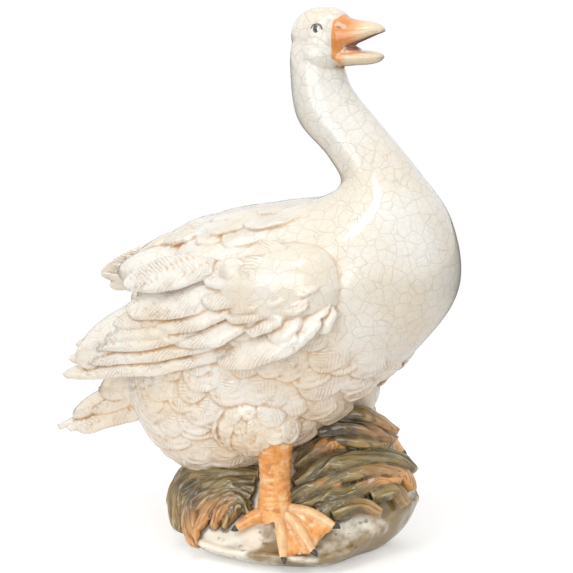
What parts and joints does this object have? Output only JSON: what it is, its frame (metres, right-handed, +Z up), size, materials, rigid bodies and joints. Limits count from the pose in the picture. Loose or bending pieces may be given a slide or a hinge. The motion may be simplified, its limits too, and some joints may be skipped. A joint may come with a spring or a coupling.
{
  "type": "goose figurine",
  "caption": "Glazed ceramic goose standing with neck raised and beak open on an irregular rock with leaves, flat underside.",
  "frame": {"origin": "on the flat underside of the rock, below the goose's body", "axes": "+Z up, +X the way the goose faces, +Y its left side"},
  "size_m": [0.3269, 0.1662, 0.3913],
  "materials": {
    "crackle_glaze": "ivory crackle glaze, with painted beak, legs, leaves and rock"
  },
  "bodies": {
    "root": {"goose_figurine": "crackle_glaze"}
  },
  "joints": []
}
